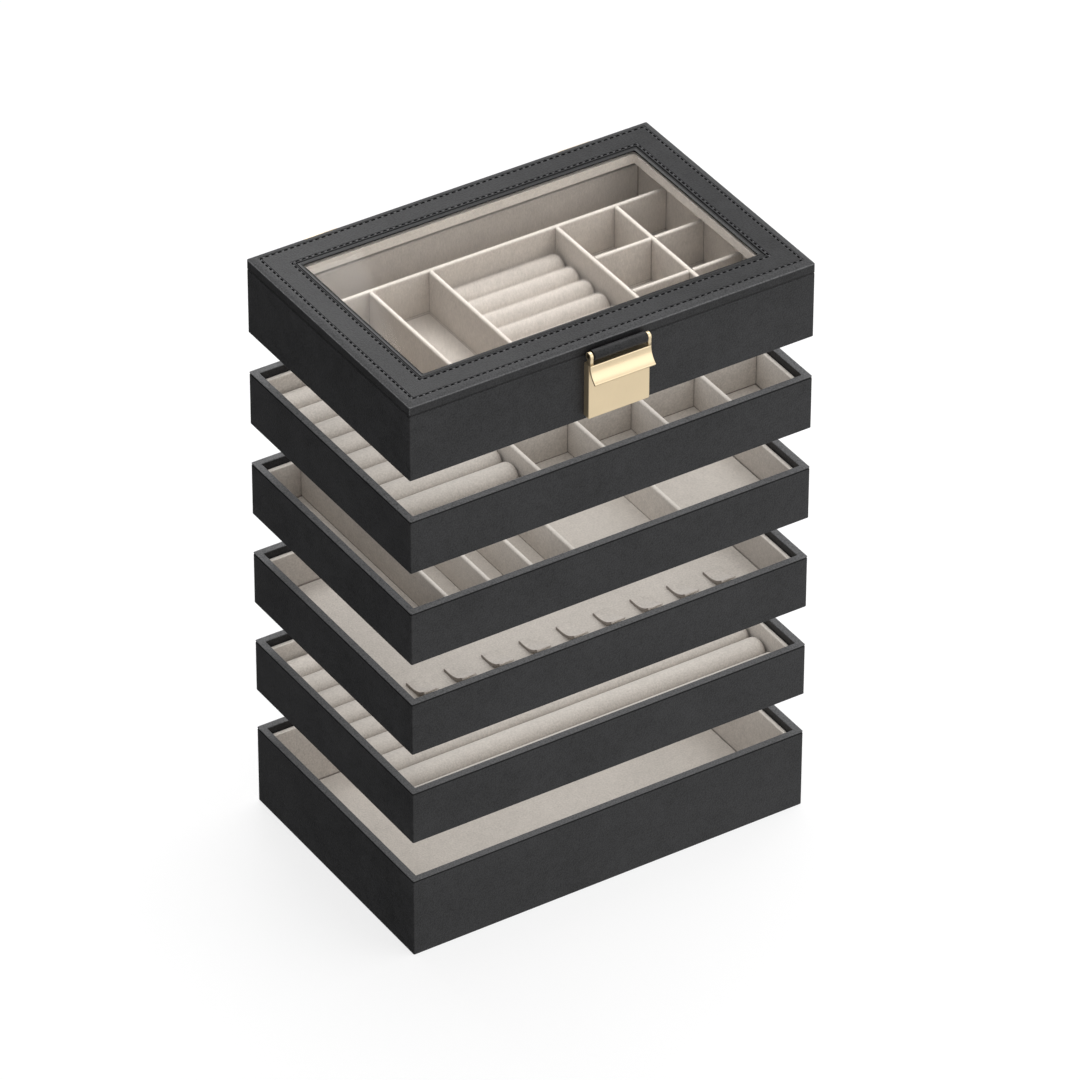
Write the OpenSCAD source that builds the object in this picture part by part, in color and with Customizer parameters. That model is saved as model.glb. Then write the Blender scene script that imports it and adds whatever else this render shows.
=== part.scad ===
// Stacking jewelry organizer: a deep bottom tray, four shallow trays and a top box with a glazed lid.
// The tiers are shown lifted apart. Each one has a plinth below that drops into the rim of the next.

/* [Box] */
// Outside width of every tier, left to right
box_w = 300; // [280:1:340]
// Outside depth of every tier, front to back
box_d = 195; // [185:1:230]
// Thickness of the wrapped wall boards
wall_t = 5; // [4:0.5:6.5]
// Free height between two tiers, as they are shown lifted apart
tier_gap = 30.5; // [10:0.5:60]
// Height of the locating plinth under a tier
plinth_h = 4.4; // [2:0.2:4.6]
// Clearance between a plinth and the walls that it drops between
plinth_gap = 0.5; // [0.3:0.1:1]
// Thickness of the base board between the walls
board_t = 2.6; // [2:0.2:4]

/* [Trays] */
// Height of a shallow tray
tray_h = 40; // [36:1:60]
// Height of the deep bottom tray
deep_h = 60; // [45:1:90]
// Thickness of the velvet liner boards in the trays
liner_t = 3; // [2:0.5:4]
// How far the liner of a tray lies below its rim
rim_drop = 5.6; // [5:0.2:8]
// Thickness of the padded floor in a shallow tray and in the top box
pad_t = 4.4; // [3:0.2:6]
// Thickness of the padded floor in the deep tray
deep_pad_t = 2.4; // [2:0.2:5]
// Thickness of a velvet divider
divider_t = 3; // [2:0.5:4]

/* [Ring rolls] */
// Diameter of a ring roll in the trays
roll_d = 19.5; // [16:0.5:20]
// Diameter of a ring roll in the top box
top_roll_d = 17.3; // [14:0.1:18.5]
// Slot between two neighbouring rolls
roll_slot = 0.3; // [0.2:0.1:1.5]
// Clearance at each end of a roll
roll_end_gap = 0.8; // [0.5:0.1:3]
// Radius of the rounded ends of a roll
roll_end_r = 3.5; // [1:0.5:5]
// Depth of the flat on which a roll lies
roll_flat = 1; // [0.4:0.2:2]

/* [Second tier] */
// Clear width of its ring bay
ring_bay_w = 93; // [60:1:120]
// Columns of compartments beside the ring bay
grid_columns = 4; // [2:1:5]
// Clear depth of the front row of compartments
front_cell_d = 43.2; // [30:0.2:60]
// Rows of deeper compartments behind the front row
back_rows = 2; // [1:1:3]

/* [Third tier] */
// Clear width of the necklace channel on the left
necklace_w = 24; // [18:0.5:32]
// Clear width of a narrow compartment
narrow_w = 28.5; // [20:0.5:34]
// Narrow compartments beside the channel
narrow_count = 3; // [2:1:4]
// Clear width of the first wide compartment
wide_w = 77.5; // [55:0.5:80]

/* [Fourth tier] */
// Number of necklace tabs
tab_count = 9; // [5:1:9]
// Spacing of the tabs
tab_pitch = 28.3; // [20:0.1:30]
// Width of a tab
tab_w = 12; // [8:0.5:18]
// Thickness of a tab
tab_t = 1.8; // [1:0.1:2.5]
// Length of the flat foot of a tab
tab_foot = 5; // [3:0.5:12]
// Bend radius of a tab, at its underside
tab_r = 26; // [10:0.5:30]
// Angle through which a tab is bent up
tab_sweep = 42; // [30:1:60]
// Distance from the front of the tray to the back end of a tab
tab_back = 49.5; // [40:0.5:90]

/* [Top box] */
// Height of the top box without its lid
body_h = 48; // [44:1:70]
// Thickness of the padded liner in the top box
top_liner_t = 12; // [6:0.5:14]
// How far the liner of the top box lies below its rim
top_rim_drop = 10; // [6:0.5:12]
// Clear depth of the long channel at the back
channel_d = 30.5; // [20:0.5:40]
// Clear width of the outer column of small compartments
outer_cell_w = 37; // [25:0.5:42]
// Clear width of the inner column of small compartments
inner_cell_w = 42; // [25:0.5:44]
// Clear depth of a small compartment
cell_d = 41; // [25:0.5:42]
// Clear width of the ring bay of the top box
top_bay_w = 91.5; // [60:0.5:95]
// Clear width of the compartment left of the ring bay
bracelet_w = 41.5; // [25:0.5:44]

/* [Lid] */
// Thickness of the lid
lid_t = 8.7; // [8:0.1:14]
// Gap at the seam between lid and box
seam_gap = 0.3; // [0.2:0.1:0.6]
// Width of the wrapped frame boards of the lid
frame_w = 22.5; // [18:0.5:32]
// Width of the bead and of the lining round the window
bead_w = 3.5; // [2.5:0.5:5]
// Height of the bead that holds the glass
bead_h = 1.4; // [1:0.1:2]
// Thickness of the glass
glass_t = 2; // [1.5:0.1:3]
// Clearance round the glass
glass_gap = 0.3; // [0.2:0.1:1]
// How far the lining reaches below the lid
lining_lip = 2; // [0:0.5:4]

/* [Hinges] */
// Distance of a hinge from the middle
hinge_x = 95; // [60:1:110]
// Width of a hinge
hinge_w = 26; // [20:1:36]
// Thickness of a hinge leaf
leaf_t = 1; // [0.8:0.1:1.5]
// Outer radius of a hinge knuckle
knuckle_r = 2.2; // [2:0.1:3]
// Radius of a hinge pin
pin_r = 1; // [0.8:0.1:1.2]
// Height of the leaf on the box
body_leaf_h = 9; // [8:0.5:16]
// Height of the leaf on the lid
lid_leaf_h = 6.6; // [6:0.2:7]
// Radius of the head of a hinge screw
screw_head_r = 1.5; // [1.2:0.1:1.8]
// Radius of the shank of a hinge screw
screw_r = 0.8; // [0.6:0.1:1]

/* [Clasp] */
// Width of the catch block and of the hasp
clasp_w = 45.2; // [34:0.2:60]
// Thickness of the catch block
block_t = 5.4; // [4:0.1:8]
// Height of the catch block above the lower edge of the top box
block_rise = 3; // [1:0.5:4]
// Distance of the hasp bar in front of the box
bar_out = 4.5; // [4.4:0.1:6]
// Depth of the hasp bar below the top of the lid
bar_drop = 7.4; // [6:0.1:7.6]
// Radius of the hasp bar
bar_r = 1.5; // [1.2:0.1:1.8]
// Radius of the leather loop round the bar
loop_r = 3.6; // [3.2:0.1:4.2]
// Radius of the ears of the hasp
ear_r = 4; // [3.4:0.1:4.1]
// Thickness of an ear
ear_t = 2.4; // [1.5:0.1:3.5]
// Thickness of the hasp flap
flap_t = 1.4; // [1:0.1:2]
// Depth of the top edge of the flap below the bar
flap_drop = 6.2; // [5.6:0.1:8]
// Clearance between the ears of the hasp and the top of the catch block
ear_gap = 0.4; // [0.3:0.1:1]
// Radius of the hollow of the flap
flap_r = 13; // [8:0.5:18]
// Angle through which the flap curves outwards
flap_sweep = 56; // [35:1:65]
// Clearance between the flap and the catch block
flap_gap = 0.3; // [0.2:0.1:0.6]
// Radius of the magnet in the catch block
magnet_r = 3; // [2:0.5:3.5]
// Thickness of the magnet
magnet_t = 2; // [1:0.5:3]

/* [Hidden] */
$fn = 48;

// Colours, as the photograph shows them
leather = "#343434";
velvet = "#cfc6bb";
brass = "#d9c39b";
felt = "#2a2a2a";
steel = "#b8b8ba";
glass = "#dfe8ea";

// Hairline left at a glued mitre, so that each board is a solid of its own
mitre_gap = 0.05;
// Overrun of every cut
over = 1;
// Running clearance of a pin or bar in its bore
run_gap = 0.05;
// Side clearance between knuckles, and between the loop and the ears
side_gap = 0.3;
// Depth of the pegs and screws that enter a wall
peg_depth = 3.5;
// Radius of the pegs of the catch block
peg_r = 1.5;
// Distance of the pegs from the middle of the catch block
peg_x = 12;
// Height of a screw head
screw_head_h = 0.8;
// Clearance between the hinge barrel and the wall
barrel_gap = 0.3;
// Length and thickness of the strap under the lid
strap_in = 12;
strap_t = 1.6;
// Depth of the middle of the magnet below the top of the catch block
magnet_drop = 4;
// Knuckles of a hinge, of which the box has the even ones
knuckle_count = 5;
// Steps in a bent outline
bend_steps = 12;

// Height of the lower edge of each tier
tray_5_z = deep_h + tier_gap;
tray_4_z = tray_5_z + tray_h + tier_gap;
tray_3_z = tray_4_z + tray_h + tier_gap;
tray_2_z = tray_3_z + tray_h + tier_gap;
body_z = tray_2_z + tray_h + tier_gap;
lid_z = body_z + body_h + seam_gap;
lid_top = lid_z + lid_t;

// Inside of the walls and of the liners
in_w = box_w - 2 * wall_t;
in_d = box_d - 2 * wall_t;
tray_w = in_w - 2 * liner_t;
tray_d = in_d - 2 * liner_t;
top_w = in_w - 2 * top_liner_t;
top_d = in_d - 2 * top_liner_t;

// Height of the floor above the lower edge of a tier, and of its dividers
floor_z = board_t + pad_t;
divider_h = tray_h - rim_drop - floor_z;
top_divider_h = body_h - top_rim_drop - floor_z;

// Places in the second tier
bay_divider_x = ring_bay_w - tray_w / 2 + divider_t / 2;
column_pitch = (tray_w / 2 - bay_divider_x - divider_t / 2 + divider_t) / grid_columns;
front_row_y = front_cell_d - tray_d / 2 + divider_t / 2;
row_pitch = (tray_d / 2 - front_row_y + divider_t / 2) / back_rows;

// Places in the top box
long_divider_y = top_d / 2 - channel_d - divider_t / 2;
cell_divider_x = top_w / 2 - outer_cell_w - divider_t / 2;
cell_bay_x = cell_divider_x - inner_cell_w - divider_t;
ring_bay_x = cell_bay_x - top_bay_w - divider_t;
bracelet_x = ring_bay_x - bracelet_w - divider_t;
bay_front_y = -top_d / 2;
bay_back_y = long_divider_y - divider_t / 2;

// Places of the hinges
barrel_y = box_d / 2 + barrel_gap + knuckle_r;
barrel_z = body_z + body_h + seam_gap / 2;
knuckle_w = hinge_w / knuckle_count;
leaf_low = knuckle_r + side_gap;

// Places of the clasp
front_y = -box_d / 2;
bar_y = front_y - bar_out;
bar_z = lid_top - bar_drop;
flap_back_y = front_y - block_t - flap_gap;
flap_top_z = bar_z - flap_drop;
block_z = body_z + block_rise;
block_h = flap_top_z - ear_gap - block_z;
loop_w = clasp_w - 2 * ear_t - 2 * side_gap;

// Clear size of the lid between its frame boards, which the glass and its bead fill
window_w = box_w - 2 * frame_w;
window_d = box_d - 2 * frame_w;

// One board with mitred ends: its outer face lies on the X axis and it reaches towards +Y
module mitred_board(length, thick, high) {
    half = length / 2 - mitre_gap;
    linear_extrude(high)
        polygon([[-half, 0], [half, 0], [half - thick, thick], [thick - half, thick]]);
}

// Four mitred boards round a rectangle of the given outside size
module board_ring(wide, deep, thick, high) {
    for (turn = [0, 180]) {
        rotate(turn)
            translate([0, -deep / 2, 0])
                mitred_board(wide, thick, high);
        rotate(turn + 90)
            translate([0, -wide / 2, 0])
                mitred_board(deep, thick, high);
    }
}

// A slab centred on the Z axis, standing on the given height
module slab(wide, deep, high, z) {
    translate([-wide / 2, -deep / 2, z])
        cube([wide, deep, high]);
}

module walls(z, high) {
    color(leather)
        translate([0, 0, z])
            board_ring(box_w, box_d, wall_t, high);
}

// Base board with the locating plinth below it
module plinth_base(z) {
    color(felt) {
        slab(in_w, in_d, board_t, z);
        slab(in_w - 2 * plinth_gap, in_d - 2 * plinth_gap, plinth_h + board_t, z - plinth_h);
    }
}

module liner(z, high, thick, drop) {
    color(velvet)
        translate([0, 0, z + board_t])
            board_ring(in_w, in_d, thick, high - drop - board_t);
}

module floor_pad(z, wide, deep, thick) {
    color(velvet)
        slab(wide, deep, thick, z + board_t);
}

// Divider that runs front to back, with its middle at x
module long_board(x, y_low, y_high, z, high) {
    translate([x - divider_t / 2, y_low, z])
        cube([divider_t, y_high - y_low, high]);
}

// Divider that runs left to right, with its middle at y
module cross_board(y, x_low, x_high, z, high) {
    translate([x_low, y - divider_t / 2, z])
        cube([x_high - x_low, divider_t, high]);
}

// Half outline of a ring roll, with rounded corners at its ends
module roll_outline(radius, length) {
    square([radius - roll_end_r, length]);
    translate([0, roll_end_r])
        square([radius, length - 2 * roll_end_r]);
    for (end = [roll_end_r, length - roll_end_r])
        translate([radius - roll_end_r, end])
            circle(roll_end_r);
}

// One ring roll along X, lying on its flat at height 0
module ring_roll(diameter, length) {
    intersection() {
        translate([0, 0, diameter / 2 - roll_flat])
            rotate([0, 90, 0])
                rotate_extrude()
                    roll_outline(diameter / 2, length);
        translate([-over, -diameter, 0])
            cube([length + 2 * over, 2 * diameter, diameter]);
    }
}

// A row of rolls that fills the bay from y_low to y_high
module ring_rolls(x_low, x_high, y_low, y_high, z, diameter) {
    pitch = diameter + roll_slot;
    count = floor((y_high - y_low) / pitch);
    back = y_high - roll_slot / 2 - diameter / 2;
    color(velvet)
        for (i = [0 : count - 1])
            translate([x_low + roll_end_gap, back - i * pitch, z])
                ring_roll(diameter, x_high - x_low - 2 * roll_end_gap);
}

// Points of the bent part of a strip that leaves the Y axis at the origin and rises
function bend(radius, sweep) = [
    for (i = [0 : bend_steps])
        let (turn = sweep * i / bend_steps)
            [radius * sin(turn), radius * (1 - cos(turn))]
];
function reversed(points) = [for (i = [len(points) - 1 : -1 : 0]) points[i]];

// One necklace tab: a flat foot on the floor, and a tongue bent up towards the front
module necklace_tab() {
    outer = [for (p = bend(tab_r, tab_sweep)) [-tab_foot - p[0], p[1]]];
    inner = [for (p = bend(tab_r - tab_t, tab_sweep)) [-tab_foot - p[0], tab_t + p[1]]];
    rotate([90, 0, 90])
        linear_extrude(tab_w)
            polygon(concat([[0, tab_t]], inner, reversed(outer), [[0, 0]]));
}

module deep_tray_walls() { walls(0, deep_h); }

module deep_tray_base() {
    color(felt)
        slab(in_w, in_d, board_t, 0);
}

module deep_tray_liner() { liner(0, deep_h, liner_t, rim_drop); }

module deep_tray_floor_pad() { floor_pad(0, tray_w, tray_d, deep_pad_t); }

module tray_5_walls() { walls(tray_5_z, tray_h); }

module tray_5_base() { plinth_base(tray_5_z); }

module tray_5_liner() { liner(tray_5_z, tray_h, liner_t, rim_drop); }

module tray_5_floor_pad() { floor_pad(tray_5_z, tray_w, tray_d, pad_t); }

module tray_5_ring_rolls() {
    ring_rolls(-tray_w / 2, tray_w / 2, -tray_d / 2, tray_d / 2, tray_5_z + floor_z, roll_d);
}

module tray_4_walls() { walls(tray_4_z, tray_h); }

module tray_4_base() { plinth_base(tray_4_z); }

module tray_4_liner() { liner(tray_4_z, tray_h, liner_t, rim_drop); }

module tray_4_floor_pad() { floor_pad(tray_4_z, tray_w, tray_d, pad_t); }

module tray_4_necklace_tabs() {
    first = -(tab_count - 1) * tab_pitch / 2 - tab_w / 2;
    color(velvet)
        for (i = [0 : tab_count - 1])
            translate([first + i * tab_pitch, tab_back - tray_d / 2, tray_4_z + floor_z])
                necklace_tab();
}

module tray_3_walls() { walls(tray_3_z, tray_h); }

module tray_3_base() { plinth_base(tray_3_z); }

module tray_3_liner() { liner(tray_3_z, tray_h, liner_t, rim_drop); }

module tray_3_floor_pad() { floor_pad(tray_3_z, tray_w, tray_d, pad_t); }

module tray_3_dividers() {
    channel_x = necklace_w - tray_w / 2 + divider_t / 2;
    narrow_x = [for (i = [0 : narrow_count]) channel_x + i * (narrow_w + divider_t)];
    wide_x = channel_x + narrow_count * (narrow_w + divider_t) + wide_w + divider_t;
    color(velvet)
        for (x = concat(narrow_x, [wide_x]))
            long_board(x, -tray_d / 2, tray_d / 2, tray_3_z + floor_z, divider_h);
}

module tray_2_walls() { walls(tray_2_z, tray_h); }

module tray_2_base() { plinth_base(tray_2_z); }

module tray_2_liner() { liner(tray_2_z, tray_h, liner_t, rim_drop); }

module tray_2_floor_pad() { floor_pad(tray_2_z, tray_w, tray_d, pad_t); }

module tray_2_ring_rolls() {
    bay_right = bay_divider_x - divider_t / 2;
    ring_rolls(-tray_w / 2, bay_right, -tray_d / 2, tray_d / 2, tray_2_z + floor_z, roll_d);
}

module tray_2_column_dividers() {
    color(velvet)
        for (i = [0 : grid_columns - 1])
            long_board(bay_divider_x + i * column_pitch, -tray_d / 2, tray_d / 2,
                       tray_2_z + floor_z, divider_h);
}

// Short boards between the column dividers
module tray_2_row_dividers() {
    color(velvet)
        for (i = [0 : grid_columns - 1], j = [0 : back_rows - 1]) {
            left = bay_divider_x + divider_t / 2 + i * column_pitch;
            cross_board(front_row_y + j * row_pitch, left, left + column_pitch - divider_t,
                        tray_2_z + floor_z, divider_h);
        }
}

// Front wall with the holes of the catch block, back wall with those of the hinge screws
module top_box_walls() {
    color(leather)
        difference() {
            walls(body_z, body_h);
            for (side = [-1, 1])
                translate([side * peg_x, front_y - over, block_z + block_h / 2])
                    rotate([-90, 0, 0])
                        cylinder(r = peg_r, h = peg_depth + over);
            screw_shanks(barrel_z - leaf_low - body_leaf_h / 2, over);
        }
}

module top_box_base() { plinth_base(body_z); }

module top_box_liner() { liner(body_z, body_h, top_liner_t, top_rim_drop); }

module top_box_floor_pad() { floor_pad(body_z, top_w, top_d, pad_t); }

module top_box_ring_rolls() {
    ring_rolls(ring_bay_x + divider_t / 2, cell_bay_x - divider_t / 2, bay_front_y, bay_back_y,
               body_z + floor_z, top_roll_d);
}

module top_box_long_divider() {
    color(velvet)
        cross_board(long_divider_y, -top_w / 2, top_w / 2, body_z + floor_z, top_divider_h);
}

module top_box_bay_dividers() {
    color(velvet)
        for (x = [bracelet_x, ring_bay_x, cell_bay_x, cell_divider_x])
            long_board(x, bay_front_y, bay_back_y, body_z + floor_z, top_divider_h);
}

// Short boards between the dividers of the small compartments
module top_box_cell_dividers() {
    spans = [
        [cell_bay_x + divider_t / 2, cell_divider_x - divider_t / 2],
        [cell_divider_x + divider_t / 2, top_w / 2]
    ];
    color(velvet)
        for (span = spans, row = [1, 2])
            cross_board(long_divider_y - row * (cell_d + divider_t), span[0], span[1],
                        body_z + floor_z, top_divider_h);
}

// Brass plate on the front of the top box, with a pocket for the magnet and two pegs behind
module catch_block() {
    color(brass)
        difference() {
            union() {
                translate([-clasp_w / 2, front_y - block_t, block_z])
                    cube([clasp_w, block_t, block_h]);
                for (side = [-1, 1])
                    translate([side * peg_x, front_y, block_z + block_h / 2])
                        rotate([-90, 0, 0])
                            cylinder(r = peg_r, h = peg_depth);
            }
            translate([0, front_y - block_t - over, block_z + block_h - magnet_drop])
                rotate([-90, 0, 0])
                    cylinder(r = magnet_r, h = magnet_t + over);
        }
}

module catch_magnet() {
    color(steel)
        translate([0, front_y - block_t, block_z + block_h - magnet_drop])
            rotate([-90, 0, 0])
                cylinder(r = magnet_r, h = magnet_t);
}

// Places of the knuckles that the box has (even) or the lid has (odd), by the middle of each
module at_knuckles(first) {
    for (side = [-1, 1], i = [first : 2 : knuckle_count - 1])
        translate([side * hinge_x + (i + 1 / 2) * knuckle_w - hinge_w / 2, barrel_y, barrel_z])
            children();
}

module along_x(radius, length) {
    rotate([0, 90, 0])
        cylinder(r = radius, h = length, center = true);
}

// Two leaves of the hinges: reach is how far each goes from the barrel, down when dir is -1
module hinge_leaves(first, dir, reach) {
    leaf_z = barrel_z + min(dir * leaf_low, dir * reach);
    neck_h = leaf_low + leaf_t;
    neck_w = knuckle_w - side_gap;
    color(brass)
        difference() {
            union() {
                for (side = [-1, 1])
                    translate([side * hinge_x - hinge_w / 2, box_d / 2, leaf_z])
                        cube([hinge_w, leaf_t, reach - leaf_low]);
                at_knuckles(first)
                    along_x(knuckle_r, neck_w);
                at_knuckles(first)
                    translate([-neck_w / 2, box_d / 2 - barrel_y, min(0, dir * neck_h)])
                        cube([neck_w, leaf_t, neck_h]);
            }
            at_knuckles(first)
                along_x(pin_r + run_gap, knuckle_w + over);
            screw_shanks(barrel_z + dir * (leaf_low + (reach - leaf_low) / 2), over);
        }
}

// Shanks of the hinge screws at the given height, from past the leaf into the wall
module screw_shanks(z, extra) {
    for (side = [-1, 1], end = [-1, 1])
        translate([side * hinge_x + end * hinge_w / 3, box_d / 2 + leaf_t + extra, z])
            rotate([90, 0, 0])
                cylinder(r = screw_r, h = leaf_t + peg_depth + extra);
}

module screw_heads(z) {
    for (side = [-1, 1], end = [-1, 1])
        translate([side * hinge_x + end * hinge_w / 3, box_d / 2 + leaf_t, z])
            rotate([-90, 0, 0])
                cylinder(r = screw_head_r, h = screw_head_h);
}

module hinge_screws(z) {
    color(brass) {
        screw_shanks(z, 0);
        screw_heads(z);
    }
}

module hinge_box_leaves() { hinge_leaves(0, -1, leaf_low + body_leaf_h); }

module hinge_box_screws() { hinge_screws(barrel_z - leaf_low - body_leaf_h / 2); }

module hinge_lid_leaves() { hinge_leaves(1, 1, lid_leaf_h); }

module hinge_lid_screws() { hinge_screws(barrel_z + (leaf_low + lid_leaf_h) / 2); }

module hinge_pins() {
    color(brass)
        for (side = [-1, 1])
            translate([side * hinge_x, barrel_y, barrel_z])
                along_x(pin_r, hinge_w);
}

// Four mitred boards, with a rebate for the strap and the holes of the hinge screws
module lid_frame() {
    color(leather)
        difference() {
            translate([0, 0, lid_z])
                board_ring(box_w, box_d, frame_w, lid_t);
            translate([-loop_w / 2 - side_gap / 2, front_y - over, lid_z - over])
                cube([loop_w + side_gap, strap_in + over, strap_t + over]);
            screw_shanks(barrel_z + (leaf_low + lid_leaf_h) / 2, over);
        }
}

module lid_lining() {
    color(velvet)
        translate([0, 0, lid_z - lining_lip])
            board_ring(window_w, window_d, bead_w, lining_lip + lid_t - bead_h - glass_t);
}

module lid_glass() {
    color(glass, 0.35)
        slab(window_w - 2 * glass_gap, window_d - 2 * glass_gap, glass_t, lid_top - bead_h - glass_t);
}

module lid_bead() {
    color(leather)
        translate([0, 0, lid_top - bead_h])
            board_ring(window_w, window_d, bead_w, bead_h);
}

// Leather strap that is glued under the lid and wrapped round the bar of the hasp
module hasp_loop() {
    color(leather)
        difference() {
            union() {
                translate([0, bar_y, bar_z])
                    along_x(loop_r, loop_w);
                translate([-loop_w / 2, bar_y, lid_z])
                    cube([loop_w, bar_out + strap_in, strap_t]);
            }
            translate([0, bar_y, bar_z])
                along_x(bar_r + run_gap, loop_w + over);
        }
}

module hasp_bar() {
    color(brass)
        translate([0, bar_y, bar_z])
            along_x(bar_r, clasp_w);
}

// Outline of the flap, seen along X from its upper back edge: straight down, then hollow outwards
module flap_outline() {
    front = [for (p = bend(flap_r, flap_sweep)) [-flap_t - p[1], -p[0]]];
    back = [for (p = bend(flap_r + flap_t, flap_sweep)) [-p[1], -p[0]]];
    polygon(concat(back, reversed(front)));
}

// Ears that hold the bar, and the hollow flap in front of the catch block
module hasp_flap() {
    front = flap_back_y - flap_t;
    color(brass)
        difference() {
            union() {
                translate([-clasp_w / 2, flap_back_y, flap_top_z])
                    rotate([90, 0, 90])
                        linear_extrude(clasp_w)
                            flap_outline();
                for (side = [-1, 1])
                    translate([side * (clasp_w - ear_t) / 2, 0, 0]) {
                        translate([0, bar_y, bar_z])
                            along_x(ear_r, ear_t);
                        translate([-ear_t / 2, front, flap_top_z])
                            cube([ear_t, bar_y - front, flap_drop]);
                    }
            }
            translate([0, bar_y, bar_z])
                along_x(bar_r, clasp_w + over);
        }
}

deep_tray_walls();
deep_tray_base();
deep_tray_liner();
deep_tray_floor_pad();
tray_5_walls();
tray_5_base();
tray_5_liner();
tray_5_floor_pad();
tray_5_ring_rolls();
tray_4_walls();
tray_4_base();
tray_4_liner();
tray_4_floor_pad();
tray_4_necklace_tabs();
tray_3_walls();
tray_3_base();
tray_3_liner();
tray_3_floor_pad();
tray_3_dividers();
tray_2_walls();
tray_2_base();
tray_2_liner();
tray_2_floor_pad();
tray_2_ring_rolls();
tray_2_column_dividers();
tray_2_row_dividers();
top_box_walls();
top_box_base();
top_box_liner();
top_box_floor_pad();
top_box_ring_rolls();
top_box_long_divider();
top_box_bay_dividers();
top_box_cell_dividers();
catch_block();
catch_magnet();
hinge_box_leaves();
hinge_box_screws();
hinge_pins();
hinge_lid_leaves();
hinge_lid_screws();
lid_frame();
lid_lining();
lid_glass();
lid_bead();
hasp_loop();
hasp_flap();
hasp_bar();
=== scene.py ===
"""Looks of a stacking jewelry organizer, built round its packed model.

Each operator makes one piece, or one group of like pieces. Every place comes from the boxes of the
packed nodes, and the sizes that a user would change are in the settings. All lengths are in metres.
"""

import math

import bpy
import numpy as np
from mathutils import Matrix, Vector


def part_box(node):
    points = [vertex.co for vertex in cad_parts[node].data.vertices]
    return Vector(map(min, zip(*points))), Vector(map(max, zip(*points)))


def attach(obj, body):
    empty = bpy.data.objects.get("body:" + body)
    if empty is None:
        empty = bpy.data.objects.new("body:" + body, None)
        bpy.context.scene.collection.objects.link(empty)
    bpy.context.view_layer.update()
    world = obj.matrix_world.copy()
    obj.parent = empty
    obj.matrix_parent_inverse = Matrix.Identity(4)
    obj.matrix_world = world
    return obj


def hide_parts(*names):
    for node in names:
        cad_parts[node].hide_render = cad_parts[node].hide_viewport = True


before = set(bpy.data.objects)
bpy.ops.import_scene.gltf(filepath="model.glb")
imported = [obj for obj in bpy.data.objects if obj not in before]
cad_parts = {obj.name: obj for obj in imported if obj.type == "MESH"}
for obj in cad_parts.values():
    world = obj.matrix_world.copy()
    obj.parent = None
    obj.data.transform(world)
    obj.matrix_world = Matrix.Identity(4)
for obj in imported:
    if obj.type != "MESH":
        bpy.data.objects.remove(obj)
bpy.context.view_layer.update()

bl_info = {
    "name": "Stacking Jewelry Organizer",
    "version": (1, 0, 0),
    "blender": (4, 5, 0),
    "location": "3D View > Sidebar > Organizer",
    "description": "Dresses the trays, the lid and the clasp of a stacking jewelry organizer",
    "category": "Add Mesh",
}

MM = 0.001
# Gap between a skin and its neighbour
HAIR = 0.05 * MM
# Radii of edges that look sharp, eased and round
CRISP = 0.1 * MM
EASED = 0.6 * MM
ROUND = 1.2 * MM
# Distance of the row of points that keeps a flat side flat beside a rounded corner
SUPPORT = 0.2 * MM
ARC_STEPS = 5

# Tiers from the bottom up, each with the body that it rides on
TIERS = {
    "deep_tray": "bottom_tray",
    "tray_5": "tray_5",
    "tray_4": "tray_4",
    "tray_3": "tray_3",
    "tray_2": "tray_2",
    "top_box": "top_box",
}
# Height of the painted highlight along the top of a divider
PALE_TOP = 1.6 * MM
# Kinds of dividers in each body
DIVIDERS = {
    "tray_3": ["dividers"],
    "tray_2": ["column_dividers", "row_dividers"],
    "top_box": ["long_divider", "bay_dividers", "cell_dividers"],
}
# How much paler, as painted light, the pile of a broad, bare floor is than the rest
PALE_FLOORS = {"deep_tray": 0.25, "tray_4": 0.1, "tray_3": 0.55}
# How much painted shade darkens the pile of the walls round such a floor
DARK_WALLS = {"deep_tray": 0.12, "tray_4": 0.28, "tray_3": 0.22}
# Strength of the painted highlight on the tops of the rolls in each body that has rolls; below 0 it is
# painted shade
ROLLS = {"tray_5": 0.45, "tray_2": 0.4, "top_box": -0.08}


def linear(code):
    """Linear colour of a hexadecimal sRGB code, with alpha 1."""
    parts = [int(code[i:i + 2], 16) / 255 for i in (1, 3, 5)]
    return tuple(c / 12.92 if c <= 0.04045 else ((c + 0.055) / 1.055) ** 2.4 for c in parts) + (1.0,)


def number(name, default, description, **more):
    """A number, as a property."""
    return bpy.props.FloatProperty(name=name, default=default, description=description, **more)


def size(name, millimetres, description):
    """A length, as a property."""
    return number(name, millimetres * MM, description, precision=5, unit="LENGTH")


def share(name, default, description):
    """A share from 0 to 1, as a property."""
    return number(name, default, description, min=0, max=1, subtype="FACTOR")


def strength(name, default, description):
    """The brightness of a light, as a property."""
    return number(name, default, description, min=0)


def tone(name, code, description):
    """A colour, as a property."""
    return bpy.props.FloatVectorProperty(
        name=name, default=linear(code), size=4, min=0, max=1, subtype="COLOR", description=description)


def turn(name, degrees, description):
    """An angle, as a property."""
    return number(name, math.radians(degrees), description, subtype="ANGLE")


class ORGANIZER_PG_leather(bpy.types.PropertyGroup):
    """Leatherette of the walls, the lid and the loop"""

    colour: tone("Colour", "#262627", "Colour of the leatherette")
    # Colour of the painted highlight along rims, edges, grooves and upright corners
    painted_highlight: tone("Rubbed", "#666667", "Colour of the leatherette along a rubbed edge")
    pebble: size("Pebble", 1.1, "Size of a pebble of the grain")
    roughness: share("Roughness", 0.46, "Roughness of the leatherette")
    corner: size("Corner", 0.9, "Radius of the upright outer corners")
    rim: size("Rim", 0.8, "Radius of the outer edge of a rim")
    fold_drop: size("Fold drop", 1.1, "Depth of the fold line below the rim")
    fold: size("Fold", 0.5, "Depth of the fold line in the face")


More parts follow.
